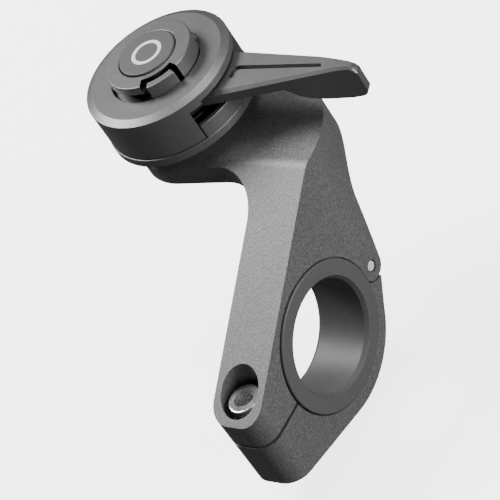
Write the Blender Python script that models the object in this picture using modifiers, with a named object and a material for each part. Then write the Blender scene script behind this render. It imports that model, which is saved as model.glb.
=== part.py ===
"""Phone mount for a bicycle handlebar, built as an assembly of separate pieces.

Frame: +Z up, +X along the handlebar, +Y forwards over the bar. The origin is on the bar's axis,
half way across the clamp. Sizes below are in millimetres, and the shape helpers scale them by MM.
"""

import math

import bmesh
import bpy
from mathutils import Matrix, Vector

MM = 0.001
ARC_STEP = 9.0
GAP = 0.3

# Handlebar clamp
CLAMP_HALF_WIDTH = 8.25
BAR_BORE_R = 15.9
SLEEVE_BODY_R = 17.7
SLEEVE_HALF_LENGTH = 8.9
SLEEVE_FLANGE_R = 21.2
SLEEVE_FLANGE_INNER_FACE = 7.4
CLAMP_BORE_R = 18.0
COUNTERBORE_R = 21.6
COUNTERBORE_FLOOR = 7.1
ARM_SPLIT_Z = -1.3
DOOR_SPLIT_Z = -2.3

# Hinge of the clamp door
HINGE_Y = 25.3
HINGE_Z = -0.7
KNUCKLE_R = 4.2
HINGE_SEAT_R = 4.7
HINGE_SLOT_R = 4.6
HINGE_SLOT_HALF = 4.5
TONGUE_HALF = 3.2
PIN_R = 1.5
PIN_HOLE_R = 1.8
PIN_HALF_LENGTH = 8.0

# Clamp door
DOOR_CENTRE = (-0.6, -0.8)
DOOR_R = 24.9
DOOR_BOTTOM_SLOPE = -0.229

# Bolt ear
EAR_END_Y = -37.2
EAR_CORNER_R = 5.8
EAR_BOTTOM_Z = -18.0
BOLT_Y = -28.7
BOLT_HOLE_R = 3.4
POCKET_R = 6.2
POCKET_FLOOR = 2.1
POCKET_Y = (-35.3, -22.1)
INSERT_DEPTH = (-11.6, -2.6)
INSERT_R = 4.3
INSERT_BORE_R = 3.3

# Arm neck and top plate
SLOPE_FOOT = (-45.0, 2.4)
SLOPE_CREST_Y = 26.0
CREST_R = 6.0
PLATE_TOP = 41.0
PLATE_UNDERSIDE = 33.5
OUTER_CORNER_UNDERSIDE = 29.0
FRONT_LEAN = 75.0
FRONT_BLEND_R = 16.0
SIDE_BLEND_R = 6.0
PLATE_OUTER_ARC = ((-22.3, 28.35), 30.55)
PLATE_INNER_ARC = ((-20.85, 11.1), 12.6)

# Head
HEAD = (-40.7, 40.0)
HEAD_PLATE_R = 18.3
CORE_BOTTOM = PLATE_TOP + GAP
COLUMN_R = 10.2
COLUMN_TOP = 60.7
FLANGE_R = 18.0
FLANGE_Z = (46.4, 47.9)
PEDESTAL_R = 16.8
SPRING_SEAT = (11.2, 13.9, 43.5)
DISC_TOP = 62.0
DISC_UNDERSIDE = 58.9
DISC_EDGE_R = 20.05
SKIRT_R = 22.25
SKIRT_TOP = 60.95
SKIRT_BOTTOM = 48.2
RING_R = 22.55
RING_Z = (45.1, 48.0)
WINDOW = (-36.0, 44.0)
RAISED_WALL_TOP = 52.4
LUG_ANGLE = -42.0
LUG_HALF_ANGLE = 19.0
LUG_R = (11.3, 13.6)
LUG_TOP = 66.0
NOTCH_HALF_ANGLE = 26.0
BOSS_R = 13.25
BOSS_Z = (61.0, 66.8)
TAB_UNDERSIDE = 64.3
UNDERCUTS = ((-110.0, 48.0), (67.0, 30.0))
CAP_R = 8.5
CAP_Z = (65.7, 67.3)

# Fasteners and spring of the head
SCREW_R = 2.5
SCREW_HOLE_R = 2.8
DOWEL_R = 1.5
DOWEL_CIRCLE_R = 7.5
DOWEL_ANGLES = (45.0, 225.0)
GUIDE_R = 0.9
GUIDE_HOLE_R = 1.2
GUIDE_CIRCLE_R = 15.3
GUIDE_ANGLES = (0.0, 120.0, 240.0)
LEVER_SCREW_ANGLES = (60.0, 180.0, 300.0)
RING_SCREW_ANGLES = (100.0, 180.0, 260.0)
RING_SCREW_CIRCLE_R = 20.6
SPRING_R = 12.7
SPRING_WIRE_R = 0.65
SPRING_TURNS = 4.5
SPRING_Z = (43.8, 54.9)

# Lever
LEVER_RING_R = (11.0, 18.6)
LEVER_RING_Z = (55.2, 58.6)
LEVER_BAR_Z = (54.2, 58.0)
LEVER_ROOT = (-19.6, 34.0)
LEVER_ANGLE = 16.5
LIP_THICKNESS = 2.9
LIP_PROUD = 0.05
LEVER_LENGTH = 43.2

# Base colour, metallic value and roughness of each material
MATERIALS = {
    "arm_aluminium": ((0.085, 0.085, 0.088), 0.7, 0.5),
    "head_aluminium": ((0.075, 0.075, 0.078), 0.7, 0.45),
    "core_plastic": ((0.025, 0.025, 0.025), 0.0, 0.5),
    "sleeve_plastic": ((0.05, 0.05, 0.048), 0.0, 0.55),
    "stainless_steel": ((0.62, 0.61, 0.59), 1.0, 0.3),
    "spring_steel": ((0.35, 0.35, 0.36), 1.0, 0.35),
    "washer_plastic": ((0.6, 0.6, 0.57), 0.0, 0.5),
    "cap_face": ((0.09, 0.09, 0.09), 0.0, 0.5),
}


def clear_scene():
    for obj in list(bpy.data.objects):
        bpy.data.objects.remove(obj, do_unlink=True)


def new_collection(name):
    collection = bpy.data.collections.new(name)
    bpy.context.scene.collection.children.link(collection)
    return collection


def material(name):
    made = bpy.data.materials.get(name)
    if made:
        return made
    colour, metallic, roughness = MATERIALS[name]
    made = bpy.data.materials.new(name)
    made.use_nodes = True
    shader = made.node_tree.nodes["Principled BSDF"]
    shader.inputs["Base Color"].default_value = (*colour, 1.0)
    shader.inputs["Metallic"].default_value = metallic
    shader.inputs["Roughness"].default_value = roughness
    return made


def new_object(name, mesh, finish=None):
    """Links a mesh as a visible part, or as a hidden cutter when it has no finish."""
    obj = bpy.data.objects.new(name, mesh)
    if finish:
        mesh.materials.append(material(finish))
        PARTS.objects.link(obj)
        mesh.shade_smooth()
        mesh.set_sharp_from_angle(angle=math.radians(30))
    else:
        CUTTERS.objects.link(obj)
        obj.hide_render = True
        obj.display_type = "WIRE"
    return obj


def turn_axis(axis):
    """Rotation that lays local Z along the named axis, with local X and Y on the next two."""
    if axis == "X":
        return Matrix(((0, 0, 1), (1, 0, 0), (0, 1, 0))).to_4x4()
    return Matrix.Identity(4)


def polar(radius, degrees, centre=(0.0, 0.0)):
    angle = math.radians(degrees)
    return (centre[0] + radius * math.cos(angle), centre[1] + radius * math.sin(angle))


def arc(centre, radius, start, end, step=ARC_STEP):
    """Points on a circle from one angle to another, ends included."""
    count = max(1, math.ceil(abs(end - start) / step))
    return [polar(radius, start + (end - start) * i / count, centre) for i in range(count + 1)]


def rounded(corners):
    """Outline through (x, y, radius) corners, with an arc in place of each corner."""
    outline = []
    for i, (x, y, radius) in enumerate(corners):
        corner = Vector((x, y))
        if not radius:
            outline.append((x, y))
            continue
        before = (Vector(corners[i - 1][:2]) - corner).normalized()
        after = (Vector(corners[(i + 1) % len(corners)][:2]) - corner).normalized()
        half = before.angle(after) / 2
        centre = corner + (before + after).normalized() * (radius / math.sin(half))
        first = corner + before * (radius / math.tan(half)) - centre
        start = math.degrees(math.atan2(first.y, first.x))
        sweep = math.degrees(math.pi - 2 * half)
        turn = 1 if after.cross(before) > 0 else -1
        outline += arc(tuple(centre), radius, start, start + turn * sweep)
    return outline


def sector(inner, outer, middle, half_angle, centre=(0.0, 0.0)):
    """Outline of a piece of a flat ring."""
    low, high = middle - half_angle, middle + half_angle
    return arc(centre, outer, low, high) + arc(centre, inner, high, low)


def prism(name, outline, low, high, axis="Z", finish=None, place=None):
    """A flat outline made solid between two heights along an axis."""
    curve = bpy.data.curves.new(name, "CURVE")
    curve.dimensions = "2D"
    curve.fill_mode = "BOTH"
    curve.extrude = (high - low) / 2 * MM
    spline = curve.splines.new("POLY")
    spline.points.add(len(outline) - 1)
    for point, (x, y) in zip(spline.points, outline):
        point.co = (x * MM, y * MM, 0.0, 1.0)
    spline.use_cyclic_u = True
    lift = Matrix.Translation((0.0, 0.0, (low + high) / 2 * MM))
    return solid_from_curve(name, curve, (place or turn_axis(axis)) @ lift, finish)


def solid_from_curve(name, curve, matrix, finish=None):
    holder = bpy.data.objects.new(name + "_curve", curve)
    bpy.context.scene.collection.objects.link(holder)
    bpy.context.view_layer.update()
    graph = bpy.context.evaluated_depsgraph_get()
    mesh = bpy.data.meshes.new_from_object(holder.evaluated_get(graph))
    shape = bmesh.new()
    shape.from_mesh(mesh)
    bmesh.ops.remove_doubles(shape, verts=shape.verts, dist=1e-6)
    bmesh.ops.recalc_face_normals(shape, faces=shape.faces)
    shape.to_mesh(mesh)
    shape.free()
    mesh.materials.clear()
    obj = new_object(name, mesh, finish)
    obj.matrix_world = matrix
    bpy.data.objects.remove(holder)
    return obj


def turned(name, profile, finish=None, centre=(0.0, 0.0), axis="Z", steps=48):
    """A turned shape. The profile holds (radius, height) points and runs down its outer side.

    A profile that starts on the axis stays open, and any other one is closed into a ring.
    """
    mesh = bpy.data.meshes.new(name)
    points = [(radius * MM, 0.0, height * MM) for radius, height in profile]
    edges = [(i, i + 1) for i in range(len(points) - 1)]
    if profile[0][0] > 0:
        edges.append((len(points) - 1, 0))
    mesh.from_pydata(points, edges, [])
    obj = new_object(name, mesh, finish)
    obj.matrix_world = Matrix.Translation((centre[0] * MM, centre[1] * MM, 0.0)) @ turn_axis(axis)
    screw = obj.modifiers.new("turn", "SCREW")
    screw.steps = steps
    screw.render_steps = steps
    screw.use_merge_vertices = True
    screw.merge_threshold = 1e-6
    screw.use_smooth_shade = True
    return obj


def rod(name, radius, low, high, centre=(0.0, 0.0), axis="Z", finish=None, sides=32):
    """A round rod between two heights along an axis; centre is in the plane across it."""
    mesh = bpy.data.meshes.new(name)
    shape = bmesh.new()
    middle = Vector((centre[0], centre[1], (low + high) / 2)) * MM
    bmesh.ops.create_cone(
        shape,
        cap_ends=True,
        segments=sides,
        radius1=radius * MM,
        radius2=radius * MM,
        depth=(high - low) * MM,
        matrix=turn_axis(axis) @ Matrix.Translation(middle),
    )
    shape.to_mesh(mesh)
    shape.free()
    return new_object(name, mesh, finish)


def copies(make_one, name, places, *sizes):
    """Alike pieces at several places, each its own object named with its number."""
    return [make_one(f"{name}_{i + 1}", place, *sizes) for i, place in enumerate(places)]


def combine(obj, other, operation):
    boolean = obj.modifiers.new(operation.lower(), "BOOLEAN")
    boolean.operation = operation
    boolean.solver = "EXACT"
    boolean.object = other


def cut(obj, *others):
    for other in others:
        combine(obj, other, "DIFFERENCE")


def join(obj, *others):
    for other in others:
        combine(obj, other, "UNION")


def polygon(radius, sides, centre=(0.0, 0.0), start=0.0):
    return [polar(radius, start + 360.0 * i / sides, centre) for i in range(sides)]


def hexagon(across_flats, centre, start=0.0):
    return polygon(across_flats / math.sqrt(3), 6, centre, start)


def head_circle(radius, angles):
    return [polar(radius, angle, HEAD) for angle in angles]


# Arm ----------------------------------------------------------------------------------------


def tangent_angle(centre_a, centre_b, reach):
    """Direction of the normal that two circles' common tangent shares, on their clockwise side."""
    apart = Vector(centre_b) - Vector(centre_a)
    along = math.degrees(math.atan2(apart.y, apart.x))
    return (along - math.degrees(math.acos(reach / apart.length))) % 360


def arm_plan():
    outer_centre, outer_r = PLATE_OUTER_ARC
    inner_centre, inner_r = PLATE_INNER_ARC
    outer_end = tangent_angle(outer_centre, HEAD, outer_r - HEAD_PLATE_R)
    head_end = tangent_angle(HEAD, inner_centre, HEAD_PLATE_R + inner_r)
    corner_y = EAR_END_Y + EAR_CORNER_R
    corner_x = CLAMP_HALF_WIDTH - EAR_CORNER_R
    outline = arc(outer_centre, outer_r, 0.0, outer_end, 7.5)
    outline += arc(HEAD, HEAD_PLATE_R, outer_end, head_end, 7.5)
    outline += arc(inner_centre, inner_r, head_end - 180.0, 0.0, 7.5)
    outline += arc((-corner_x, corner_y), EAR_CORNER_R, 180.0, 270.0)
    outline += arc((corner_x, corner_y), EAR_CORNER_R, 270.0, 360.0)
    return outline


def arm_elevation():
    """Side view of clamp half, neck and plate, as (y, z) points."""
    hinge = (HINGE_Y, HINGE_Z)
    foot = math.degrees(math.asin((ARM_SPLIT_Z - HINGE_Z) / KNUCKLE_R))
    outline = arc(hinge, KNUCKLE_R, 180.0 - foot, 270.0 + FRONT_LEAN)
    tangent_y, tangent_z = outline[-1]
    blend_z = OUTER_CORNER_UNDERSIDE - FRONT_BLEND_R
    start_z = blend_z + FRONT_BLEND_R * math.sin(math.radians(90.0 + FRONT_LEAN))
    start_y = tangent_y + (start_z - tangent_z) / math.tan(math.radians(FRONT_LEAN))
    blend_y = start_y - FRONT_BLEND_R * math.cos(math.radians(90.0 + FRONT_LEAN))
    outline += arc((blend_y, blend_z), FRONT_BLEND_R, 90.0 + FRONT_LEAN, 90.0)
    far_y = 70.0
    outline += rounded(
        [
            (far_y, OUTER_CORNER_UNDERSIDE, 0),
            (far_y, PLATE_TOP, 0),
            (SLOPE_CREST_Y, PLATE_TOP, CREST_R),
            (*SLOPE_FOOT, 0),
            (SLOPE_FOOT[0], ARM_SPLIT_Z, 0),
        ]
    )
    return outline


def under_plate_space():
    """Cross-section, as (x, z) points, of the space beside the neck and under the head plate."""
    neck_x = -CLAMP_HALF_WIDTH
    return rounded(
        [
            (-80.0, -60.0, 0),
            (neck_x, -60.0, 0),
            (neck_x, PLATE_UNDERSIDE, SIDE_BLEND_R),
            (-80.0, PLATE_UNDERSIDE, 0),
        ]
    )


def counterbore(name, side):
    ends = sorted((side * COUNTERBORE_FLOOR, side * 15.0))
    return rod(name, COUNTERBORE_R, *ends, axis="X", sides=48)


def make_arm():
    arm = prism("arm", arm_plan(), -20.0, 60.0, finish="arm_aluminium")
    combine(arm, prism("arm_side_view", arm_elevation(), -70.0, 20.0, axis="X"), "INTERSECT")
    sideways = Matrix(((1, 0, 0), (0, 0, -1), (0, 1, 0))).to_4x4()
    space = prism("under_plate_space", under_plate_space(), -80.0, 80.0, place=sideways)
    pocket = rounded(
        [(x, y, POCKET_R - 0.01) for x, y in (
            (-POCKET_R, POCKET_Y[0]),
            (POCKET_R, POCKET_Y[0]),
            (POCKET_R, POCKET_Y[1]),
            (-POCKET_R, POCKET_Y[1]),
        )]
    )
    cut(
        arm,
        space,
        prism("bolt_pocket", pocket, POCKET_FLOOR, 40.0),
        rod("arm_bolt_hole", BOLT_HOLE_R, -10.0, 10.0, (0.0, BOLT_Y)),
        rod("arm_bore", CLAMP_BORE_R, -20.0, 20.0, axis="X", sides=48),
        counterbore("arm_counterbore_right", 1),
        counterbore("arm_counterbore_left", -1),
        rod("hinge_slot", HINGE_SLOT_R, -HINGE_SLOT_HALF, HINGE_SLOT_HALF, (HINGE_Y, HINGE_Z), "X"),
        rod("arm_pin_hole", PIN_HOLE_R, -20.0, 20.0, (HINGE_Y, HINGE_Z), "X", sides=24),
        rod("arm_screw_hole", SCREW_HOLE_R, 30.0, 50.0, HEAD, sides=24),
        prism("nut_pocket", hexagon(8.6, HEAD), 30.0, 38.1),
    )
    for i, place in enumerate(head_circle(DOWEL_CIRCLE_R, DOWEL_ANGLES)):
        cut(arm, rod(f"arm_dowel_hole_{i}", DOWEL_R + GAP, 37.7, 50.0, place, sides=16))
    return arm


# Clamp door, hinge and bolt -------------------------------------------------------------------


def door_elevation():
    """Side view of the door, as (y, z) points."""
    tangent = math.degrees(math.atan2(-1.0, DOOR_BOTTOM_SLOPE)) % 360
    ear_y = EAR_END_Y - 8.0
    ear_z = EAR_BOTTOM_Z + DOOR_BOTTOM_SLOPE * (ear_y - EAR_END_Y)
    outline = [(26.0, DOOR_SPLIT_Z), (26.1, -6.0), (25.8, -6.5)]
    outline += arc(DOOR_CENTRE, DOOR_R, 330.0, tangent, 6.0)
    outline += [(ear_y, ear_z), (ear_y, DOOR_SPLIT_Z)]
    return outline


def door_plan():
    half = CLAMP_HALF_WIDTH
    return rounded(
        [
            (half, 40.0, 0),
            (-half, 40.0, 0),
            (-half, EAR_END_Y, EAR_CORNER_R),
            (half, EAR_END_Y, EAR_CORNER_R),
        ]
    )


def tongue_elevation():
    hinge = (HINGE_Y, HINGE_Z)
    return arc(hinge, KNUCKLE_R, -85.0, 205.0) + [(20.0, -4.5), (22.5, -8.0), (24.8, -6.9)]


def make_door():
    hinge = (HINGE_Y, HINGE_Z)
    half = CLAMP_HALF_WIDTH
    door = prism("clamp_door", door_elevation(), -half, half, axis="X", finish="arm_aluminium")
    combine(door, prism("door_plan_view", door_plan(), -40.0, 10.0), "INTERSECT")
    cut(
        door,
        rod("hinge_seat", HINGE_SEAT_R, -20.0, 20.0, hinge, "X"),
        rod("door_bore", CLAMP_BORE_R, -20.0, 20.0, axis="X", sides=48),
        counterbore("door_counterbore_right", 1),
        counterbore("door_counterbore_left", -1),
    )
    join(door, prism("door_tongue", tongue_elevation(), -TONGUE_HALF, TONGUE_HALF, axis="X"))
    cut(
        door,
        rod("door_pin_hole", PIN_HOLE_R, -20.0, 20.0, hinge, "X", sides=24),
        rod("insert_bore", INSERT_R + GAP, INSERT_DEPTH[0] - GAP, 10.0, (0.0, BOLT_Y)),
        rod("door_bolt_hole", BOLT_HOLE_R, -40.0, 0.0, (0.0, BOLT_Y)),
    )
    return door


def make_thread_insert():
    low, high = INSERT_DEPTH
    profile = [(INSERT_R, high), (INSERT_R, low), (INSERT_BORE_R, low), (INSERT_BORE_R, high)]
    return turned("thread_insert", profile, "stainless_steel", (0.0, BOLT_Y), steps=32)


def make_hinge_pin():
    end = PIN_HALF_LENGTH
    edge = 0.2
    profile = [(0.0, end), (PIN_R - edge, end), (PIN_R, end - edge)]
    profile += [(PIN_R, edge - end), (PIN_R - edge, -end), (0.0, -end)]
    pin = turned("hinge_pin", profile, "stainless_steel", axis="X", steps=24)
    pin.location = (0.0, HINGE_Y * MM, HINGE_Z * MM)
    return pin


def make_hinge_washer(name, low):
    thick = HINGE_SLOT_HALF - TONGUE_HALF - 2 * GAP
    profile = [(3.9, low + thick), (3.9, low), (PIN_HOLE_R, low), (PIN_HOLE_R, low + thick)]
    washer = turned(name, profile, "washer_plastic", axis="X", steps=24)
    washer.location = (0.0, HINGE_Y * MM, HINGE_Z * MM)
    return washer


def make_sleeve():
    face = SLEEVE_HALF_LENGTH
    inner_face = SLEEVE_FLANGE_INNER_FACE
    edge = 0.3
    mouth_r = BAR_BORE_R + 0.8
    mouth_x = face - 1.2
    right = [(mouth_r, face), (SLEEVE_FLANGE_R - edge, face), (SLEEVE_FLANGE_R, face - edge)]
    right += [(SLEEVE_FLANGE_R, inner_face), (SLEEVE_BODY_R, inner_face)]
    left = [(radius, -x) for radius, x in reversed(right)]
    bore = [(BAR_BORE_R, -mouth_x), (BAR_BORE_R, mouth_x)]
    return turned("bar_sleeve", right + left + bore, "sleeve_plastic", axis="X")


def make_clamp_bolt():
    head_r, head_z, thread_z, tip_z = 5.0, (3.5, 8.5), -0.9, -9.0
    shank_r, thread_r = 3.0, 2.5
    profile = [(0.0, head_z[1]), (head_r - 0.5, head_z[1]), (head_r, head_z[1] - 0.5)]
    profile += [(head_r, head_z[0]), (shank_r, head_z[0]), (shank_r, thread_z)]
    profile += [(thread_r, thread_z - 0.4), (thread_r, tip_z + 0.5)]
    profile += [(thread_r - 0.5, tip_z), (0.0, tip_z)]
    bolt = turned("clamp_bolt", profile, "stainless_steel", (0.0, BOLT_Y), steps=40)
    cut(bolt, prism("bolt_socket", hexagon(5.0, (0.0, BOLT_Y)), 5.8, 12.0))
    return bolt


def make_bolt_washer():
    profile = [(5.6, 3.2), (5.6, 2.4), (3.3, 2.4), (3.3, 3.2)]
    return turned("bolt_washer", profile, "stainless_steel", (0.0, BOLT_Y), steps=40)


# Head: fixed pieces ---------------------------------------------------------------------------


def make_core():
    seat_in, seat_out, seat_z = SPRING_SEAT
    low, high = FLANGE_Z
    profile = [(0.0, COLUMN_TOP), (COLUMN_R, COLUMN_TOP), (COLUMN_R, high)]
    profile += [(seat_in, high), (seat_in, seat_z), (seat_out, seat_z), (seat_out, high)]
    profile += [(FLANGE_R, high), (FLANGE_R, low), (PEDESTAL_R, low)]
    profile += [(PEDESTAL_R, CORE_BOTTOM), (0.0, CORE_BOTTOM)]
    core = turned("head_core", profile, "core_plastic", HEAD, steps=40)
    cut(core, rod("core_screw_hole", SCREW_HOLE_R, 30.0, 70.0, HEAD, sides=24))
    for i, place in enumerate(head_circle(DOWEL_CIRCLE_R, DOWEL_ANGLES)):
        cut(core, rod(f"core_dowel_hole_{i}", DOWEL_R + GAP, 30.0, 44.8, place, sides=16))
    for i, place in enumerate(head_circle(GUIDE_CIRCLE_R, GUIDE_ANGLES)):
        cut(core, rod(f"core_guide_hole_{i}", GUIDE_HOLE_R, 43.7, 60.0, place, sides=16))
    return core


def make_boss():
    low, high = BOSS_Z
    neck_r, recess_r, recess_z, bore_r, bore_z = 10.0, 8.8, 65.4, 5.4, 62.4
    profile = [(0.0, recess_z), (recess_r, recess_z), (recess_r, high), (BOSS_R - 0.3, high)]
    profile += [(BOSS_R, high - 0.3), (BOSS_R, low), (0.0, low)]
    boss = turned("bayonet_boss", profile, "head_aluminium", HEAD)
    for i, (middle, half) in enumerate(UNDERCUTS):
        groove = sector(neck_r, 16.0, middle, half, HEAD)
        cut(boss, prism(f"boss_undercut_{i}", groove, 50.0, TAB_UNDERSIDE))
    notch = sector(10.4, 16.0, LUG_ANGLE, NOTCH_HALF_ANGLE, HEAD)
    cut(boss, prism("boss_notch", notch, 50.0, 70.0))
    cut(
        boss,
        rod("boss_counterbore", bore_r, bore_z, 70.0, HEAD),
        rod("boss_screw_hole", SCREW_HOLE_R, 50.0, 70.0, HEAD, sides=24),
    )
    return boss


def make_boss_cap():
    low, high = CAP_Z
    edge = 0.25
    profile = [(0.0, high), (CAP_R - edge, high), (CAP_R, high - edge), (CAP_R, low), (0.0, low)]
    return turned("boss_cap", profile, "cap_face", HEAD)


def make_boss_screw():
    head_r, head_z, tip_z = 4.25, (63.6, 65.3), 33.9
    profile = [(0.0, head_z[1]), (head_r - 0.3, head_z[1]), (head_r, head_z[1] - 0.3)]
    profile += [(head_r, head_z[0]), (SCREW_R, head_z[0]), (SCREW_R, tip_z + 0.5)]
    profile += [(SCREW_R - 0.5, tip_z), (0.0, tip_z)]
    screw = turned("boss_screw", profile, "stainless_steel", HEAD, steps=24)
    cut(screw, prism("boss_screw_socket", hexagon(3.0, HEAD), 64.2, 70.0))
    return screw


def make_boss_washer():
    profile = [(4.9, 63.3), (4.9, 62.7), (SCREW_HOLE_R, 62.7), (SCREW_HOLE_R, 63.3)]
    return turned("boss_washer", profile, "stainless_steel", HEAD, steps=24)


def make_head_nut():
    nut = prism("head_nut", hexagon(8.0, HEAD), 33.8, 37.8, finish="stainless_steel")
    cut(nut, rod("nut_bore", SCREW_HOLE_R, 30.0, 40.0, HEAD, sides=24))
    return nut


def plain_pin(name, place, radius, low, high):
    return rod(name, radius, low, high, place, finish="stainless_steel", sides=16)


def make_dowels():
    places = head_circle(DOWEL_CIRCLE_R, DOWEL_ANGLES)
    return copies(plain_pin, "locating_dowel", places, DOWEL_R, 38.0, 44.5)


def make_guide_pins():
    places = head_circle(GUIDE_CIRCLE_R, GUIDE_ANGLES)
    return copies(plain_pin, "guide_pin", places, GUIDE_R, 44.0, 57.0)


def make_spring():
    low, high = SPRING_Z[0] + SPRING_WIRE_R, SPRING_Z[1] - SPRING_WIRE_R
    count = int(SPRING_TURNS * 16)
    curve = bpy.data.curves.new("return_spring", "CURVE")
    curve.dimensions = "3D"
    curve.bevel_depth = SPRING_WIRE_R * MM
    curve.bevel_resolution = 2
    curve.use_fill_caps = True
    spline = curve.splines.new("POLY")
    spline.points.add(count)
    for i, point in enumerate(spline.points):
        x, y = polar(SPRING_R, 360.0 * SPRING_TURNS * i / count, HEAD)
        point.co = (x * MM, y * MM, (low + (high - low) * i / count) * MM, 1.0)
    return solid_from_curve("return_spring", curve, Matrix.Identity(4), "spring_steel")


# Head: pieces that move down together -----------------------------------------------------------


def make_collar():
    profile = [(DISC_EDGE_R, DISC_TOP), (SKIRT_R, SKIRT_TOP), (SKIRT_R, SKIRT_BOTTOM)]
    profile += [(19.0, SKIRT_BOTTOM), (19.0, 54.7), (20.4, 55.1), (20.4, DISC_UNDERSIDE)]
    profile += [(10.6, DISC_UNDERSIDE), (10.6, 60.4), (13.8, 60.4), (13.8, DISC_TOP)]
    collar = turned("collar", profile, "head_aluminium", HEAD)
    lug = sector(*LUG_R, LUG_ANGLE, LUG_HALF_ANGLE, HEAD)
    join(collar, prism("lug", lug, 59.5, LUG_TOP))
    middle = sum(WINDOW) / 2
    half = (WINDOW[1] - WINDOW[0]) / 2
    window = sector(17.5, 25.0, middle, half, HEAD)
    cut(collar, prism("collar_window", window, 40.0, DISC_UNDERSIDE))
    for i, place in enumerate(head_circle(GUIDE_CIRCLE_R, GUIDE_ANGLES + LEVER_SCREW_ANGLES)):
        cut(collar, rod(f"collar_hole_{i}", GUIDE_HOLE_R, 50.0, 61.1, place, sides=16))
    for i, place in enumerate(head_circle(RING_SCREW_CIRCLE_R, RING_SCREW_ANGLES)):
        cut(collar, rod(f"collar_ring_hole_{i}", 1.05, 40.0, 52.3, place, sides=12))
    return collar


def make_collar_ring():
    low, high = RING_Z
    profile = [(RING_R, high), (RING_R, low + 0.5), (RING_R - 0.5, low), (17.1, low)]
    profile += [(17.1, low + 1.0), (18.6, low + 1.0), (18.6, high)]
    ring = turned("collar_ring", profile, "head_aluminium", HEAD)
    middle = sum(WINDOW) / 2
    half = (WINDOW[1] - WINDOW[0]) / 2 - math.degrees(GAP / SKIRT_R)
    wall = sector(20.6, SKIRT_R, middle, half, HEAD)
    join(ring, prism("raised_wall", wall, high - 1.0, RAISED_WALL_TOP))
    for i, place in enumerate(head_circle(RING_SCREW_CIRCLE_R, RING_SCREW_ANGLES)):
        cut(ring, rod(f"ring_hole_{i}", 1.05, 40.0, 50.0, place, sides=12))
        cut(ring, rod(f"ring_counterbore_{i}", 1.5, 40.0, 46.5, place, sides=16))
    return ring


def cap_screw(name, place, shank_r, head_r, head_z, tip_z):
    """A small screw with its head below."""
    low, high = head_z
    profile = [(0.0, tip_z), (shank_r, tip_z), (shank_r, high), (head_r, high)]
    profile += [(head_r, low), (0.0, low)]
    return turned(name, profile, "stainless_steel", place, steps=16)


def make_lever_screws():
    places = head_circle(GUIDE_CIRCLE_R, LEVER_SCREW_ANGLES)
    return copies(cap_screw, "lever_screw", places, GUIDE_R, 1.6, (53.4, 54.9), 60.7)


def make_ring_screws():
    places = head_circle(RING_SCREW_CIRCLE_R, RING_SCREW_ANGLES)
    return copies(cap_screw, "ring_screw", places, 0.75, 1.2, (45.3, 46.2), 52.0)


def lever_frame():
    """Frame with its origin at the lever's root, local X along the near edge, local Y up."""
    angle = math.radians(LEVER_ANGLE)
    along = Vector((math.cos(angle), math.sin(angle), 0.0))
    up = Vector((0.0, 0.0, 1.0))
    frame = Matrix((along, up, along.cross(up))).transposed().to_4x4()
    frame.translation = Vector((*LEVER_ROOT, 0.0)) * MM
    return frame


def lever_bar_plan():
    angle = math.radians(LEVER_ANGLE)
    along = Vector((math.cos(angle), math.sin(angle)))
    across = Vector((-along.y, along.x))
    tip = Vector(LEVER_ROOT) + along * (LEVER_LENGTH - LIP_PROUD)
    inside = Vector(LEVER_ROOT) - along * 8.0
    far_tip = tip + across * LIP_THICKNESS
    return [
        tuple(inside),
        tuple(tip),
        tuple(far_tip),
        (13.0, 49.0),
        (-22.05, 51.0),
        (-28.0, 51.4),
    ]


def lip_elevation():
    """Side view of the finger lip, as (along, up) points in the lever's frame."""
    low, high = LEVER_BAR_Z
    return rounded(
        [
            (20.0, high - 1.0, 0),
            (20.0, low + 0.2, 0),
            (21.0, low + 0.1, 0),
            (23.9, 50.6, 6.0),
            (30.5, 48.0, 12.0),
            (37.9, 46.7, 0),
            (LEVER_LENGTH, 46.6, 1.6),
            (LEVER_LENGTH, high - 1.0, 0),
        ]
    )


def lever_side_view():
    low, high = LEVER_BAR_Z
    return rounded(
        [
            (-20.0, low - 20.0, 0),
            (LEVER_LENGTH + 5.0, low - 20.0, 0),
            (LEVER_LENGTH + 5.0, high - 4.0, 0),
            (LEVER_LENGTH, high - 3.4, 0),
            (LEVER_LENGTH - 0.8, high, 3.0),
            (-20.0, high, 0),
        ]
    )


def lever_groove():
    return [
        (11.1, 46.6),
        (-16.4, 44.7),
        (-17.6, 43.4),
        (-17.4, 41.7),
        (-16.0, 40.2),
        (-15.2, 41.0),
        (-16.2, 42.3),
        (-15.5, 43.4),
        (11.9, 45.4),
    ]


def make_lever():
    inner, outer = LEVER_RING_R
    low, high = LEVER_RING_Z
    profile = [(outer, high), (outer, low), (inner, low), (inner, high)]
    lever = turned("lever", profile, "head_aluminium", HEAD)
    bar = prism("lever_bar", lever_bar_plan(), LEVER_BAR_Z[0], LEVER_BAR_Z[1] + 1.0)
    frame = lever_frame()
    join(bar, prism("finger_lip", lip_elevation(), -LIP_THICKNESS, LIP_PROUD, place=frame))
    side_view = prism("lever_side_view", lever_side_view(), -60.0, 60.0, place=frame)
    combine(bar, side_view, "INTERSECT")
    cut(bar, prism("lever_groove", lever_groove(), 56.5, 60.0))
    join(lever, bar)
    for i, place in enumerate(head_circle(GUIDE_CIRCLE_R, GUIDE_ANGLES + LEVER_SCREW_ANGLES)):
        cut(lever, rod(f"lever_hole_{i}", GUIDE_HOLE_R, 50.0, 60.0, place, sides=16))
    return lever


# Assembly ---------------------------------------------------------------------------------------


def axis_empty(name, place):
    empty = bpy.data.objects.new(name, None)
    empty.location = Vector(place) * MM
    empty.empty_display_size = 0.01
    PARTS.objects.link(empty)
    return empty


def hang(empty, *parts):
    bpy.context.view_layer.update()
    for part in parts:
        part.parent = empty
        part.matrix_parent_inverse = empty.matrix_world.inverted()


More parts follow.
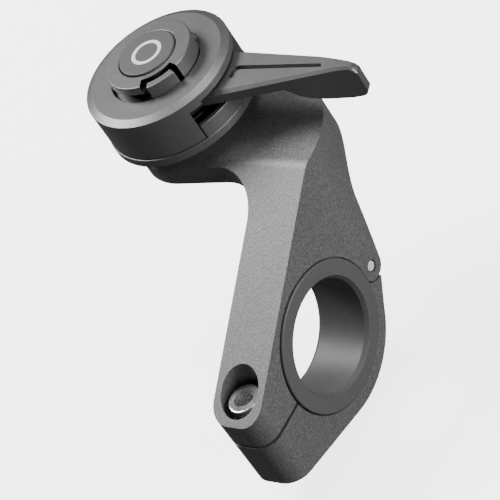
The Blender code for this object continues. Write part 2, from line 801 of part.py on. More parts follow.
def build():
    frame = axis_empty("handlebar_clamp", (0.0, 0.0, 0.0))
    hang(
        frame,
        make_arm(),
        make_hinge_pin(),
        make_hinge_washer("hinge_washer_1", TONGUE_HALF + GAP),
        make_hinge_washer("hinge_washer_2", GAP - HINGE_SLOT_HALF),
        make_sleeve(),
        make_core(),
        make_boss(),
        make_boss_cap(),
        make_boss_screw(),
        make_boss_washer(),
        make_head_nut(),
        make_spring(),
        *make_dowels(),
        *make_guide_pins(),
    )
    hang(axis_empty("door_hinge", (0.0, HINGE_Y, HINGE_Z)), make_door(), make_thread_insert())
    hang(axis_empty("bolt_axis", (0.0, BOLT_Y, 0.0)), make_clamp_bolt(), make_bolt_washer())
    hang(
        axis_empty("collar_press", (*HEAD, 0.0)),
        make_collar(),
        make_collar_ring(),
        make_lever(),
        *make_lever_screws(),
        *make_ring_screws(),
    )


clear_scene()
PARTS = new_collection("phone_mount")
CUTTERS = new_collection("cutters")
build()
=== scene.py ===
"""Looks of the handlebar phone mount: camera, studio light, materials and fine meshes round the frame.

Lengths in the tables and profiles below are in millimetres, and the mesh helpers scale them by MM.
"""

import math

import bmesh
import bpy
from mathutils import Matrix, Vector


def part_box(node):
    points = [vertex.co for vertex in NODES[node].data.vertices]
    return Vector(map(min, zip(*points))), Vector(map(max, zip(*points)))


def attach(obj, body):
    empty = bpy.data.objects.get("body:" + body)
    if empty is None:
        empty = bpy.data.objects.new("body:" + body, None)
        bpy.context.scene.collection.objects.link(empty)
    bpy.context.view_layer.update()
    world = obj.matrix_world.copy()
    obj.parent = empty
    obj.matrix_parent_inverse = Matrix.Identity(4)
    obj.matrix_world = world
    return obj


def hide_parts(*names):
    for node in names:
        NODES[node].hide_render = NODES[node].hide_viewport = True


MM = 0.001
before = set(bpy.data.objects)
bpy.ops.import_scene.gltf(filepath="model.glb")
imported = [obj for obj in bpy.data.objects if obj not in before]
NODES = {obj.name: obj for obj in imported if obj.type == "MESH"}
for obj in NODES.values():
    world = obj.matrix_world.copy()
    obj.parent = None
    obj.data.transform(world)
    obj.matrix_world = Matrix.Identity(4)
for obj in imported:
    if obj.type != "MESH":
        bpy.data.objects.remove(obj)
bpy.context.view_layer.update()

ARM_BODY = "arm_body"
DOOR_BODY = "door_body"
BOLT_BODY = "bolt_body"
WASHER_BODY = "washer_body"
PRESS_BODY = "press_body"


def node_box(node):
    """Lowest and highest corner of a frame node, in millimetres."""
    low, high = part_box(node)
    return low / MM, high / MM


def node_axis(node, first=0, second=1):
    """Centre of a round node across two of its directions, in millimetres."""
    low, high = node_box(node)
    middle = (low + high) / 2
    return middle[first], middle[second]


HEAD = node_axis("head_core")
BOLT = node_axis("clamp_bolt")
HINGE = node_axis("hinge_pin", 1, 2)
CLAMP_HALF = node_box("clamp_door")[1].x


# Camera and light -------------------------------------------------------------------------------


def make_camera():
    data = bpy.data.cameras.new("camera")
    data.lens = 191.92
    data.sensor_width = 36.0
    data.clip_start = 0.01
    camera = bpy.data.objects.new("camera", data)
    right = Vector((0.76659, 0.45362, -0.45449))
    up = Vector((-0.07342, 0.76506, 0.63976))
    camera.matrix_world = Matrix((right, up, right.cross(up))).transposed().to_4x4()
    camera.location = Vector((448.7, -320.7, 470.5)) * MM
    bpy.context.scene.collection.objects.link(camera)
    bpy.context.scene.camera = camera


def area_light(name, place, target, size, power):
    data = bpy.data.lights.new(name, "AREA")
    data.shape = "DISK"
    data.size = size
    data.energy = power
    light = bpy.data.objects.new(name, data)
    light.location = place
    toward = Vector(target) - Vector(place)
    light.rotation_euler = toward.to_track_quat("-Z", "Y").to_euler()
    bpy.context.scene.collection.objects.link(light)


def make_lights():
    aim = (-0.01, 0.01, 0.03)
    area_light("left_key", (-0.78, 0.02, 0.88), aim, 0.6, 19.0)
    area_light("top_soft", (0.05, 0.35, 1.1), aim, 0.5, 4.5)
    area_light("right_fill", (1.0, 0.15, 0.3), aim, 0.6, 12.5)
    world = bpy.data.worlds.new("studio")
    bpy.context.scene.world = world
    world.use_nodes = True
    back = world.node_tree.nodes["Background"]
    back.inputs["Color"].default_value = (1.0, 1.0, 1.0, 1.0)
    back.inputs["Strength"].default_value = 0.12


def make_floor():
    bpy.ops.mesh.primitive_plane_add(size=6.0, location=(0.0, 0.0, -0.0285))
    floor = bpy.context.object
    floor.name = "floor"
    made = bpy.data.materials.new("floor_white")
    made.use_nodes = True
    shader = made.node_tree.nodes["Principled BSDF"]
    shader.inputs["Base Color"].default_value = (0.95, 0.95, 0.95, 1.0)
    shader.inputs["Roughness"].default_value = 0.9
    shader.inputs["Emission Color"].default_value = (1.0, 1.0, 1.0, 1.0)
    shader.inputs["Emission Strength"].default_value = 3.2
    floor.data.materials.append(made)
    floor.visible_diffuse = False
    floor.visible_glossy = False


# Materials --------------------------------------------------------------------------------------


def node_tree(name):
    made = bpy.data.materials.new(name)
    made.use_nodes = True
    tree = made.node_tree
    return made, tree, tree.nodes["Principled BSDF"]


def noise(tree, coordinates, scale, detail=3.0, roughness=0.6):
    made = tree.nodes.new("ShaderNodeTexNoise")
    made.inputs["Scale"].default_value = scale
    made.inputs["Detail"].default_value = detail
    made.inputs["Roughness"].default_value = roughness
    tree.links.new(coordinates, made.inputs["Vector"])
    return made.outputs["Fac"]


def ramp(tree, value, stops):
    made = tree.nodes.new("ShaderNodeValToRGB")
    elements = made.color_ramp.elements
    for element, (place, colour) in zip(elements, (stops[0], stops[-1])):
        element.position = place
        element.color = (*colour, 1.0)
    for place, colour in stops[1:-1]:
        elements.new(place).color = (*colour, 1.0)
    tree.links.new(value, made.inputs["Fac"])
    return made.outputs["Color"]


def map_range(tree, value, low, high):
    made = tree.nodes.new("ShaderNodeMapRange")
    made.inputs["To Min"].default_value = low
    made.inputs["To Max"].default_value = high
    tree.links.new(value, made.inputs["Value"])
    return made.outputs["Result"]


def mix_colours(tree, factor, one, other, blend="MULTIPLY"):
    made = tree.nodes.new("ShaderNodeMix")
    made.data_type = "RGBA"
    made.blend_type = blend
    made.inputs["Factor"].default_value = factor
    tree.links.new(one, made.inputs["A"])
    tree.links.new(other, made.inputs["B"])
    return made.outputs["Result"]


def add_bump(tree, shader, height, strength, depth_mm, below=None):
    made = tree.nodes.new("ShaderNodeBump")
    made.inputs["Strength"].default_value = strength
    made.inputs["Distance"].default_value = depth_mm * MM
    tree.links.new(height, made.inputs["Height"])
    if below:
        tree.links.new(below, made.inputs["Normal"])
    tree.links.new(made.outputs["Normal"], shader.inputs["Normal"])
    return made.outputs["Normal"]


def grey(level):
    return (level, level, level * 1.01)


def coordinates_of(tree):
    return tree.nodes.new("ShaderNodeTexCoord").outputs["Object"]


def grained(name, level, metallic, roughness, grain, speckle, bump):
    """A blasted or moulded surface: fine speckle, slow tonal drift and a fine bump."""
    made, tree, shader = node_tree(name)
    place = coordinates_of(tree)
    fine = noise(tree, place, grain, 2.0, 0.7)
    coarse = noise(tree, place, 45.0, 4.0, 0.55)
    dots = ramp(
        tree,
        fine,
        [
            (0.3, grey(level * (1.0 - speckle))),
            (0.5, grey(level)),
            (0.72, grey(level * (1.0 + speckle * 1.6))),
        ],
    )
    drift = ramp(tree, coarse, [(0.3, (0.93, 0.93, 0.93)), (0.7, (1.0, 1.0, 1.0))])
    tree.links.new(mix_colours(tree, 1.0, dots, drift), shader.inputs["Base Color"])
    shader.inputs["Metallic"].default_value = metallic
    rough = map_range(tree, coarse, roughness - 0.04, roughness + 0.05)
    tree.links.new(rough, shader.inputs["Roughness"])
    slow = add_bump(tree, shader, coarse, 0.08, 0.15)
    add_bump(tree, shader, fine, bump, 0.06, slow)
    return made


def turned_metal(name, level, roughness, ring_scale=900.0):
    """Bright turned metal with fine tool lines and light smears."""
    made, tree, shader = node_tree(name)
    place = coordinates_of(tree)
    smear = noise(tree, place, 160.0, 4.0)
    stretch = tree.nodes.new("ShaderNodeMapping")
    stretch.inputs["Scale"].default_value = (0.15, 0.15, 3.0)
    tree.links.new(place, stretch.inputs["Vector"])
    lines = noise(tree, stretch.outputs["Vector"], ring_scale, 2.0)
    tone = ramp(tree, smear, [(0.25, grey(level * 0.82)), (0.75, grey(level))])
    tree.links.new(tone, shader.inputs["Base Color"])
    shader.inputs["Metallic"].default_value = 1.0
    rough = map_range(tree, smear, roughness - 0.05, roughness + 0.1)
    tree.links.new(rough, shader.inputs["Roughness"])
    add_bump(tree, shader, lines, 0.15, 0.03)
    return made


def make_materials():
    return {
        "arm": grained("blasted_arm", 0.16, 0.5, 0.5, 2600.0, 0.4, 0.45),
        "head": grained("blasted_head", 0.18, 0.68, 0.4, 3600.0, 0.2, 0.3),
        "core": grained("moulded_core", 0.02, 0.0, 0.5, 2200.0, 0.15, 0.3),
        "sleeve": grained("moulded_sleeve", 0.085, 0.0, 0.5, 1500.0, 0.08, 0.12),
        "cap": grained("cap_face", 0.1, 0.3, 0.5, 3000.0, 0.12, 0.15),
        "mark": grained("white_ink", 0.88, 0.0, 0.45, 2500.0, 0.03, 0.1),
        "acetal": grained("acetal", 0.6, 0.0, 0.45, 1200.0, 0.05, 0.1),
        "steel": turned_metal("turned_steel", 0.8, 0.16),
        # Steel pin given a near-white, mostly diffuse base: a painted highlight standing in for the glint on its
        # polished end.
        "pin": grained("pin_steel_painted_highlight", 0.95, 0.3, 0.3, 2500.0, 0.04, 0.1),
        "wire": turned_metal("spring_wire", 0.35, 0.35),
    }


# Mesh helpers -----------------------------------------------------------------------------------


def polar(radius, degrees, centre=(0.0, 0.0)):
    angle = math.radians(degrees)
    return (centre[0] + radius * math.cos(angle), centre[1] + radius * math.sin(angle))


def arc(centre, radius, start, end, step=5.0):
    count = max(1, math.ceil(abs(end - start) / step))
    return [polar(radius, start + (end - start) * i / count, centre) for i in range(count + 1)]


def rounded(corners, step=15.0):
    """Outline through (x, y, radius) corners, with an arc in place of each corner."""
    outline = []
    for i, (x, y, radius) in enumerate(corners):
        corner = Vector((x, y))
        if not radius:
            outline.append((x, y))
            continue
        before = (Vector(corners[i - 1][:2]) - corner).normalized()
        after = (Vector(corners[(i + 1) % len(corners)][:2]) - corner).normalized()
        half = before.angle(after) / 2
        centre = corner + (before + after).normalized() * (radius / math.sin(half))
        first = corner + before * (radius / math.tan(half)) - centre
        start = math.degrees(math.atan2(first.y, first.x))
        sweep = math.degrees(math.pi - 2 * half)
        turn = 1 if after.cross(before) > 0 else -1
        outline += arc(tuple(centre), radius, start, start + turn * sweep, step)
    return outline


def sector(inner, outer, middle, half_angle, centre=(0.0, 0.0)):
    low, high = middle - half_angle, middle + half_angle
    return arc(centre, outer, low, high, 3.0) + arc(centre, inner, high, low, 3.0)


def across(axis):
    """Rotation that lays local Z along the named axis, with local X and Y on the next two."""
    if axis == "X":
        return Matrix(((0, 0, 1), (1, 0, 0), (0, 1, 0))).to_4x4()
    return Matrix.Identity(4)


def mesh_object(name, shape):
    mesh = bpy.data.meshes.new(name)
    bmesh.ops.recalc_face_normals(shape, faces=shape.faces)
    shape.to_mesh(mesh)
    shape.free()
    obj = bpy.data.objects.new(name, mesh)
    bpy.context.scene.collection.objects.link(obj)
    return obj


def prism(name, outline, low, high, axis="Z", place=None):
    """A flat outline made solid between two heights along an axis."""
    shape = bmesh.new()
    matrix = place or across(axis)
    points = [matrix @ (Vector((x, y, low)) * MM) for x, y in outline]
    face = shape.faces.new([shape.verts.new(p) for p in points])
    made = bmesh.ops.extrude_face_region(shape, geom=[face])["geom"]
    lift = matrix.to_3x3() @ Vector((0.0, 0.0, (high - low) * MM))
    bmesh.ops.translate(shape, verts=[v for v in made if isinstance(v, bmesh.types.BMVert)], vec=lift)
    return mesh_object(name, shape)


def lathe(name, profile, centre=(0.0, 0.0), axis="Z", steps=144):
    """A turned shape from (radius, height) points that run round its section."""
    shape = bmesh.new()
    closed = profile[0][0] > 0
    verts = [shape.verts.new((radius * MM, 0.0, height * MM)) for radius, height in profile]
    edges = [shape.edges.new(pair) for pair in zip(verts, verts[1:])]
    if closed:
        edges.append(shape.edges.new((verts[-1], verts[0])))
    bmesh.ops.spin(
        shape,
        geom=verts + edges,
        cent=(0.0, 0.0, 0.0),
        axis=(0.0, 0.0, 1.0),
        angle=math.tau,
        steps=steps,
        use_merge=True,
    )
    bmesh.ops.remove_doubles(shape, verts=shape.verts, dist=1e-7)
    shift = Vector((centre[0], centre[1], 0.0)) * MM
    bmesh.ops.transform(shape, matrix=across(axis) @ Matrix.Translation(shift), verts=shape.verts)
    return mesh_object(name, shape)


def rod(name, radius, low, high, centre=(0.0, 0.0), axis="Z", steps=96):
    outline = [polar(radius, 360.0 * i / steps, centre) for i in range(steps)]
    return prism(name, outline, low, high, axis)


def baked(obj):
    """Applies the modifiers by taking the evaluated mesh."""
    bpy.context.view_layer.update()
    graph = bpy.context.evaluated_depsgraph_get()
    mesh = bpy.data.meshes.new_from_object(obj.evaluated_get(graph))
    obj.modifiers.clear()
    obj.data = mesh
    return obj


def combine(obj, others, operation):
    for other in others:
        boolean = obj.modifiers.new(operation.lower(), "BOOLEAN")
        boolean.operation = operation
        boolean.solver = "EXACT"
        boolean.object = other
        baked(obj)
        bpy.data.objects.remove(other)
    return obj


def cut(obj, *others):
    return combine(obj, others, "DIFFERENCE")


def join(obj, *others):
    return combine(obj, others, "UNION")


def clean(obj, merge_mm=0.01):
    """Merges sliver edges and joins flat faces, so that a bevel runs cleanly."""
    shape = bmesh.new()
    shape.from_mesh(obj.data)
    bmesh.ops.remove_doubles(shape, verts=shape.verts, dist=merge_mm * MM)
    bmesh.ops.dissolve_limit(
        shape, angle_limit=math.radians(0.5), verts=shape.verts, edges=shape.edges
    )
    shape.to_mesh(obj.data)
    shape.free()
    return obj


def bevelled(obj, width_mm, segments=2, angle=32.0):
    clean(obj)
    bevel = obj.modifiers.new("edges", "BEVEL")
    bevel.width = width_mm * MM
    bevel.segments = segments
    bevel.limit_method = "ANGLE"
    bevel.angle_limit = math.radians(angle)
    bevel.miter_outer = "MITER_ARC"
    return baked(obj)


def dress(obj, material, body, nodes):
    """Shades a finished piece, gives it its material, and ties it to the frame."""
    obj.data.materials.clear()
    obj.data.materials.append(material)
    obj.data.polygons.foreach_set("material_index", [0] * len(obj.data.polygons))
    obj.data.shade_smooth()
    obj.data.set_sharp_from_angle(angle=math.radians(35))
    weighted = obj.modifiers.new("weighted_normals", "WEIGHTED_NORMAL")
    weighted.keep_sharp = True
    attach(obj, body)
    if nodes:
        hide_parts(*nodes)
    return obj


# Arm and clamp ----------------------------------------------------------------------------------

PLATE_TOP = node_box("arm")[1].z
PLATE_UNDERSIDE = 33.5
OUTER_ARC = ((-22.3, 28.35), 30.55)
INNER_ARC = ((-20.85, 11.1), 12.6)
HEAD_PLATE_R = 18.3
EAR_END = node_box("arm")[0].y
EAR_CORNER_R = 5.8
ARM_SPLIT_Z = -1.3
DOOR_SPLIT_Z = -2.3
KNUCKLE_R = 4.2
CLAMP_BORE_R = 18.0
COUNTERBORE = (21.6, 7.1)
POCKET_R = 6.2
POCKET_FLOOR = 2.1
PIN_HOLE_R = 1.8
EDGE = 0.22


def tangent_angle(centre_a, centre_b, reach):
    apart = Vector(centre_b) - Vector(centre_a)
    along = math.degrees(math.atan2(apart.y, apart.x))
    return (along - math.degrees(math.acos(reach / apart.length))) % 360


def arm_plan():
    outer_end = tangent_angle(OUTER_ARC[0], HEAD, OUTER_ARC[1] - HEAD_PLATE_R)
    head_end = tangent_angle(HEAD, INNER_ARC[0], HEAD_PLATE_R + INNER_ARC[1])
    corner_y = EAR_END + EAR_CORNER_R
    corner_x = CLAMP_HALF - EAR_CORNER_R
    outline = arc(*OUTER_ARC, 0.0, outer_end, 2.5)
    outline += arc(HEAD, HEAD_PLATE_R, outer_end, head_end, 3.5)
    outline += arc(*INNER_ARC, head_end - 180.0, 0.0, 4.0)
    outline += arc((-corner_x, corner_y), EAR_CORNER_R, 180.0, 270.0, 7.5)
    outline += arc((corner_x, corner_y), EAR_CORNER_R, 270.0, 360.0, 7.5)
    return outline


def arm_elevation():
    front_lean, front_r, corner_underside = 75.0, 16.0, 29.0
    foot = math.degrees(math.asin((ARM_SPLIT_Z - HINGE[1]) / KNUCKLE_R))
    outline = arc(HINGE, KNUCKLE_R, 180.0 - foot, 270.0 + front_lean, 7.5)
    tangent_y, tangent_z = outline[-1]
    blend_z = corner_underside - front_r
    start_z = blend_z + front_r * math.sin(math.radians(90.0 + front_lean))
    start_y = tangent_y + (start_z - tangent_z) / math.tan(math.radians(front_lean))
    blend_y = start_y - front_r * math.cos(math.radians(90.0 + front_lean))
    outline += arc((blend_y, blend_z), front_r, 90.0 + front_lean, 90.0, 4.0)
    crest = (26.0, PLATE_TOP, 6.0)
    corners = [(70.0, corner_underside, 0), (70.0, PLATE_TOP, 0), crest]
    corners += [(-45.0, 2.4, 0), (-45.0, ARM_SPLIT_Z, 0)]
    return outline + rounded(corners, 3.0)


def clamp_side_cutters(tag):
    half = CLAMP_HALF
    radius, floor = COUNTERBORE
    return [
        rod(f"{tag}_bore", CLAMP_BORE_R, -20.0, 20.0, axis="X", steps=144),
        rod(f"{tag}_right", radius, floor, half + 5.0, axis="X", steps=144),
        rod(f"{tag}_left", radius, -half - 5.0, -floor, axis="X", steps=144),
    ]


def make_arm(materials):
    arm = prism("arm_body_shell", arm_plan(), -20.0, 60.0)
    combine(arm, [prism("side_view", arm_elevation(), -70.0, 20.0, axis="X")], "INTERSECT")
    sideways = Matrix(((1, 0, 0), (0, 0, -1), (0, 1, 0))).to_4x4()
    corners = [(-80.0, -60.0, 0), (-CLAMP_HALF, -60.0, 0), (-CLAMP_HALF, PLATE_UNDERSIDE, 6.0)]
    corners.append((-80.0, PLATE_UNDERSIDE, 0))
    pocket_y = (BOLT[1] - 6.6, BOLT[1] + 6.6)
    round_r = POCKET_R - 0.01
    pocket = [(-POCKET_R, pocket_y[0], round_r), (POCKET_R, pocket_y[0], round_r)]
    pocket += [(POCKET_R, pocket_y[1], round_r), (-POCKET_R, pocket_y[1], round_r)]
    nut = [polar(8.6 / math.sqrt(3), 60.0 * i, HEAD) for i in range(6)]
    cut(
        arm,
        prism("under_plate", rounded(corners, 7.5), -80.0, 80.0, place=sideways),
        prism("pocket", rounded(pocket, 6.0), POCKET_FLOOR, 40.0),
        rod("bolt_hole", 3.4, -10.0, 10.0, BOLT, steps=48),
        *clamp_side_cutters("arm"),
        rod("hinge_slot", 4.6, -4.5, 4.5, HINGE, "X"),
        rod("pin_hole", PIN_HOLE_R, -20.0, 20.0, HINGE, "X", steps=48),
        rod("screw_hole", 2.8, 30.0, 50.0, HEAD, steps=48),
        prism("nut_pocket", nut, 30.0, 38.1),
    )
    bevelled(arm, EDGE)
    return dress(arm, materials["arm"], ARM_BODY, ["arm"])


def door_elevation():
    centre, radius, slope = (-0.6, -0.8), 24.9, -0.229
    tangent = math.degrees(math.atan2(-1.0, slope)) % 360
    far_y = EAR_END - 8.0
    outline = [(26.0, DOOR_SPLIT_Z), (26.1, -6.0), (25.8, -6.5)]
    outline += arc(centre, radius, 330.0, tangent, 2.5)
    outline += [(far_y, -18.0 + slope * (far_y - EAR_END)), (far_y, DOOR_SPLIT_Z)]
    return outline


def make_door(materials):
    half = CLAMP_HALF
    door = prism("door_shell", door_elevation(), -half, half, axis="X")
    plan = [(half, 40.0, 0), (-half, 40.0, 0), (-half, EAR_END, EAR_CORNER_R)]
    plan.append((half, EAR_END, EAR_CORNER_R))
    combine(door, [prism("door_plan", rounded(plan, 7.5), -40.0, 10.0)], "INTERSECT")
    cut(door, rod("seat", 4.7, -20.0, 20.0, HINGE, "X"), *clamp_side_cutters("door"))
    tongue = arc(HINGE, KNUCKLE_R, -85.0, 205.0) + [(20.0, -4.5), (22.5, -8.0), (24.8, -6.9)]
    join(door, prism("tongue", tongue, -3.2, 3.2, axis="X"))
    cut(
        door,
        rod("door_pin_hole", PIN_HOLE_R, -20.0, 20.0, HINGE, "X", steps=48),
        rod("insert_bore", 4.6, -11.9, 10.0, BOLT),
        rod("door_bolt_hole", 3.4, -40.0, 0.0, BOLT, steps=48),
    )
    bevelled(door, EDGE)
    return dress(door, materials["arm"], DOOR_BODY, ["clamp_door"])


def make_sleeve(materials):
    face, flange_r, inner_face, body_r, bore_r = 8.9, 21.2, 7.4, 17.7, 15.9
    right = rounded(
        [
            (bore_r, 0.0, 0),
            (bore_r, face - 1.2, 0.25),
            (bore_r + 0.8, face, 0.2),
            (flange_r, face, 0.45),
            (flange_r, inner_face, 0.15),
            (body_r, inner_face, 0),
            (body_r, 0.0, 0),
        ]
    )
    left = [(radius, -x) for radius, x in reversed(right[1:-1])]
    sleeve = lathe("sleeve_ring", right + left, axis="X", steps=180)
    return dress(sleeve, materials["sleeve"], ARM_BODY, ["bar_sleeve"])


def make_pin(materials):
    end, radius = 8.0, 1.5
    profile = [(0.0, end), (radius - 0.35, end), (radius - 0.1, end - 0.1), (radius, end - 0.35)]
    profile += [(radius_, -x) for radius_, x in reversed(profile)]
    pin = lathe("pivot_pin", profile, axis="X", steps=64)
    for vertex in pin.data.vertices:
        vertex.co += Vector((0.0, *HINGE)) * MM
    return dress(pin, materials["pin"], ARM_BODY, ["hinge_pin"])


def knurled_head(radius, low, high, teeth=48):
    """Outside of a cap screw's head: fine straight knurls between a plain foot and a round top."""
    shape = bmesh.new()
    levels = [(low, 0.0, 0.0), (low + 0.35, 0.0, 0.0), (low + 0.5, 0.22, 0.0)]
    levels += [(high - 1.15, 0.22, 0.0), (high - 0.95, 0.0, 0.0), (high - 0.45, 0.0, 0.02)]
    levels += [(high - 0.2, 0.0, 0.12), (high - 0.05, 0.0, 0.35), (high, 0.0, 0.6)]
    rings = []
    count = teeth * 4
    for height, groove, inset in levels:
        ring = []
        for i in range(count):
            depth = groove * (0.0, 0.6, 1.0, 0.6)[i % 4]
            x, y = polar(radius - depth - inset, 360.0 * i / count, BOLT)
            ring.append(shape.verts.new((x * MM, y * MM, height * MM)))
        rings.append(ring)
    for lower, upper in zip(rings, rings[1:]):
        for i in range(count):
            j = (i + 1) % count
            shape.faces.new((lower[i], lower[j], upper[j], upper[i]))
    shape.faces.new(rings[0])
    shape.faces.new(rings[-1])
    return mesh_object("bolt_head", shape)


def make_bolt(materials):
    bolt = knurled_head(5.0, 3.5, 8.5)
    bolt.name = "socket_bolt"
    thread_top, tip, pitch = -1.3, -9.0, 1.0
    profile = [(0.0, 4.0), (3.0, 4.0), (3.0, -0.9), (2.3, thread_top)]
    turns = int((thread_top - tip - 0.6) / pitch)
    for i in range(turns):
        top = thread_top - i * pitch
        profile += [(2.3, top - 0.1), (2.5, top - 0.4), (2.5, top - 0.6), (2.3, top - 0.9)]
    profile += [(2.3, tip + 0.5), (1.9, tip), (0.0, tip)]
    join(bolt, lathe("shank", profile, BOLT, steps=48))
    socket = [polar(5.0 / math.sqrt(3), 60.0 * i + 12.0, BOLT) for i in range(6)]
    cone = lathe("socket_lead", [(0.0, 8.6), (3.05, 8.6), (2.7, 8.25), (0.0, 8.25)], BOLT, steps=64)
    cut(bolt, prism("socket", socket, 5.8, 12.0), cone)
    return dress(bolt, materials["steel"], BOLT_BODY, ["clamp_bolt"])


def make_washer(materials):
    profile = rounded([(5.6, 3.2, 0.15), (5.6, 2.4, 0.15), (3.3, 2.4, 0), (3.3, 3.2, 0.1)])
    washer = lathe("plain_washer", profile, BOLT, steps=96)
    return dress(washer, materials["steel"], WASHER_BODY, ["bolt_washer"])


# Head -------------------------------------------------------------------------------------------

LUG_ANGLE = -42.0
UNDERCUTS = ((-110.0, 48.0), (67.0, 30.0))
WINDOW = (-36.0, 44.0)
SKIRT_R = 22.25
DISC_TOP = 62.0
DISC_UNDERSIDE = 58.9


def make_collar(materials):
    profile = rounded(
        [
            (20.05, DISC_TOP, 0.25),
            (SKIRT_R, 60.95, 0.2),
            (SKIRT_R, 48.2, 0.2),
            (19.0, 48.2, 0.1),
            (19.0, 54.7, 0),
            (20.4, 55.1, 0),
            (20.4, DISC_UNDERSIDE, 0),
            (10.6, DISC_UNDERSIDE, 0.1),
            (10.6, 60.4, 0.15),
            (13.8, 60.4, 0),
            (13.8, DISC_TOP, 0.2),
        ]
    )
    collar = lathe("collar_cup", profile, HEAD, steps=180)
    middle = sum(WINDOW) / 2
    half = (WINDOW[1] - WINDOW[0]) / 2
    cut(collar, prism("window", sector(17.5, 25.0, middle, half, HEAD), 40.0, DISC_UNDERSIDE))
    lug = prism("lug", sector(11.3, 13.6, LUG_ANGLE, 19.0, HEAD), 59.5, 66.0)
    bevelled(lug, 0.3, 3)
    join(collar, lug)
    return dress(collar, materials["head"], PRESS_BODY, ["collar"])


def make_closing_ring(materials):
    profile = rounded(
        [
            (22.55, 48.0, 0.3),
            (22.55, 45.1, 0.7),
            (17.1, 45.1, 0.2),
            (17.1, 46.1, 0.1),
            (18.6, 46.1, 0),
            (18.6, 48.0, 0.1),
        ]
    )
    ring = lathe("closing_ring", profile, HEAD, steps=180)
    middle = sum(WINDOW) / 2
    half = (WINDOW[1] - WINDOW[0]) / 2 - 0.8
    wall = prism("raised_wall", sector(20.6, SKIRT_R, middle, half, HEAD), 47.0, 52.4)
    bevelled(wall, 0.25, 3)
    join(ring, wall)
    return dress(ring, materials["head"], PRESS_BODY, ["collar_ring"])


def make_boss(materials):
    top, tab_z, low, radius = 66.8, 64.3, 61.0, 13.25
    profile = rounded(
        [
            (8.8, top, 0.25),
            (radius, top, 0.35),
            (radius, low, 0.2),
            (2.8, low, 0),
            (2.8, 62.4, 0),
            (5.4, 62.4, 0),
            (5.4, 65.4, 0),
            (8.8, 65.4, 0),
        ]
    )
    boss = lathe("twist_boss", profile, HEAD, steps=180)
    for i, (middle, half) in enumerate(UNDERCUTS):
        groove = sector(10.0, 16.0, middle, half, HEAD)
        cut(boss, prism(f"undercut_{i}", groove, 50.0, tab_z))
    cut(boss, prism("notch", sector(10.4, 16.0, LUG_ANGLE, 26.0, HEAD), 50.0, 70.0))
    return dress(boss, materials["head"], ARM_BODY, ["bayonet_boss"])


def make_cap(materials):
    top = node_box("boss_cap")[1].z
    profile = rounded([(8.5, 65.7, 0.1), (8.5, top, 0.3), (0.0, top, 0), (0.0, 65.7, 0)])
    cap = lathe("cap_disc", profile, HEAD, steps=144)
    dress(cap, materials["cap"], ARM_BODY, ["boss_cap"])
    ink = [(4.6, top), (4.6, top - 0.1), (3.5, top - 0.1), (3.5, top)]
    mark = lathe("plain_ring_mark", [(r, z + 0.02) for r, z in ink], HEAD, steps=96)
    dress(mark, materials["mark"], ARM_BODY, [])


# Lever ------------------------------------------------------------------------------------------

LEVER_ROOT = Vector((-19.6, 34.0))
LEVER_ANGLE = math.radians(16.5)
LEVER_LENGTH = 43.2
LEVER_TOP = 58.0
LEVER_BOTTOM = 54.2
LIP_THICKNESS = 2.9


def between(value, stops):
    """Reads a curve given as (place, value) stops, straight between them."""
    for (left, one), (right, other) in zip(stops, stops[1:]):
        if value <= right:
            return one + (other - one) * max(0.0, value - left) / (right - left)
    return stops[-1][1]


def lever_section(s):
    """Section of the lever at s along its near edge, as (across, height) points."""
    width = between(s, [(-8.0, 20.5), (0.0, 17.0), (32.0, 6.6), (38.0, 4.2), (41.5, 2.95), (43.2, 2.9)])
    top = between(s, [(-8.0, LEVER_TOP), (34.0, LEVER_TOP), (38.0, 57.9), (41.0, 57.5), (42.4, 56.6), (43.2, 55.3)])
    low = between(
        s,
        [(20.6, 54.2), (21.8, 53.3), (24.0, 50.9), (27.0, 49.2), (31.0, 48.0), (38.0, 46.7), (41.4, 46.6), (42.6, 47.1), (43.2, 48.2)],
    )
    chamfer = between(s, [(-8.0, 1.15), (20.0, 1.0), (36.0, 0.8), (43.2, 0.7)])
    wall = min(LIP_THICKNESS, width - 0.05)
    under = min(LEVER_BOTTOM + 0.05, top - 1.2)
    inner_low = min(low + 0.02, under - 0.02)
    return [
        (0.0, low + 0.15),
        (0.0, top - chamfer * 0.85),
        (chamfer, top),
        (max(width - 0.6, chamfer + 0.1), top),
        (width, top - 0.5),
        (width, under + 0.2),
        (max(width - 0.2, wall + 0.03), under),
        (wall, under),
        (wall, inner_low),
        (0.15, low),
    ]


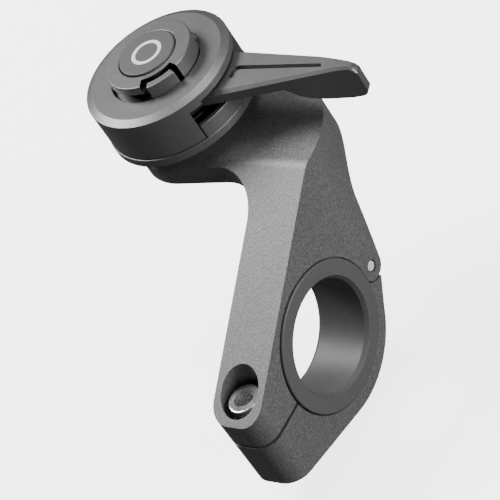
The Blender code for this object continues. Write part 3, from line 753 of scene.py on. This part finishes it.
def lever_bar():
    along = Vector((math.cos(LEVER_ANGLE), math.sin(LEVER_ANGLE)))
    side = Vector((-along.y, along.x))
    shape = bmesh.new()
    places = [-8.0, 0.0, 10.0, 19.0, 20.6, 21.2, 21.8, 22.8, 24.0, 25.5, 27.0, 29.0, 31.0, 34.0, 36.0]
    places += [38.0, 39.5, 41.0, 41.8, 42.4, 42.9, 43.15]
    rings = []
    for s in places:
        ring = []
        for across_mm, height in lever_section(s):
            flat = LEVER_ROOT + along * s + side * across_mm
            ring.append(shape.verts.new(Vector((flat.x, flat.y, height)) * MM))
        rings.append(ring)
    for one, other in zip(rings, rings[1:]):
        for i in range(len(one)):
            j = (i + 1) % len(one)
            shape.faces.new((one[i], one[j], other[j], other[i]))
    shape.faces.new(rings[0])
    shape.faces.new(rings[-1])
    return mesh_object("lever_bar", shape)


def lever_groove():
    """Hooked recess along the lever's top."""
    outline = [(11.1, 46.6), (-16.0, 44.75), (-17.2, 44.1), (-17.9, 42.9), (-17.6, 41.3), (-16.4, 40.0)]
    outline += [(-15.5, 40.7), (-16.0, 42.0), (-15.7, 42.9), (-14.8, 43.4), (11.9, 45.4)]
    groove = prism("groove", outline, 56.5, 60.0)
    return groove


def make_lever(materials):
    lever = lathe(
        "finger_lever",
        rounded([(18.6, 58.6, 0.2), (18.6, 55.2, 0.2), (11.0, 55.2, 0.2), (11.0, 58.6, 0.2)]),
        HEAD,
        steps=120,
    )
    bar = lever_bar()
    cut(bar, lever_groove())
    bevelled(bar, 0.14, 2, 28.0)
    join(lever, bar)
    return dress(lever, materials["head"], PRESS_BODY, ["lever"])


# Everything else keeps its frame mesh, with a finished material ----------------------------------


def finish_frame_nodes(materials):
    kinds = {"head_core": "core", "return_spring": "wire", "hinge_washer": "acetal"}
    for name, obj in NODES.items():
        kind = next((k for start, k in kinds.items() if name.startswith(start)), "steel")
        obj.data.materials.clear()
        obj.data.materials.append(materials[kind])
        obj.data.shade_smooth()
        obj.data.set_sharp_from_angle(angle=math.radians(35))


def build():
    make_camera()
    make_lights()
    make_floor()
    materials = make_materials()
    finish_frame_nodes(materials)
    make_arm(materials)
    make_door(materials)
    make_sleeve(materials)
    make_pin(materials)
    make_bolt(materials)
    make_washer(materials)
    make_collar(materials)
    make_closing_ring(materials)
    make_boss(materials)
    make_cap(materials)
    make_lever(materials)


build()
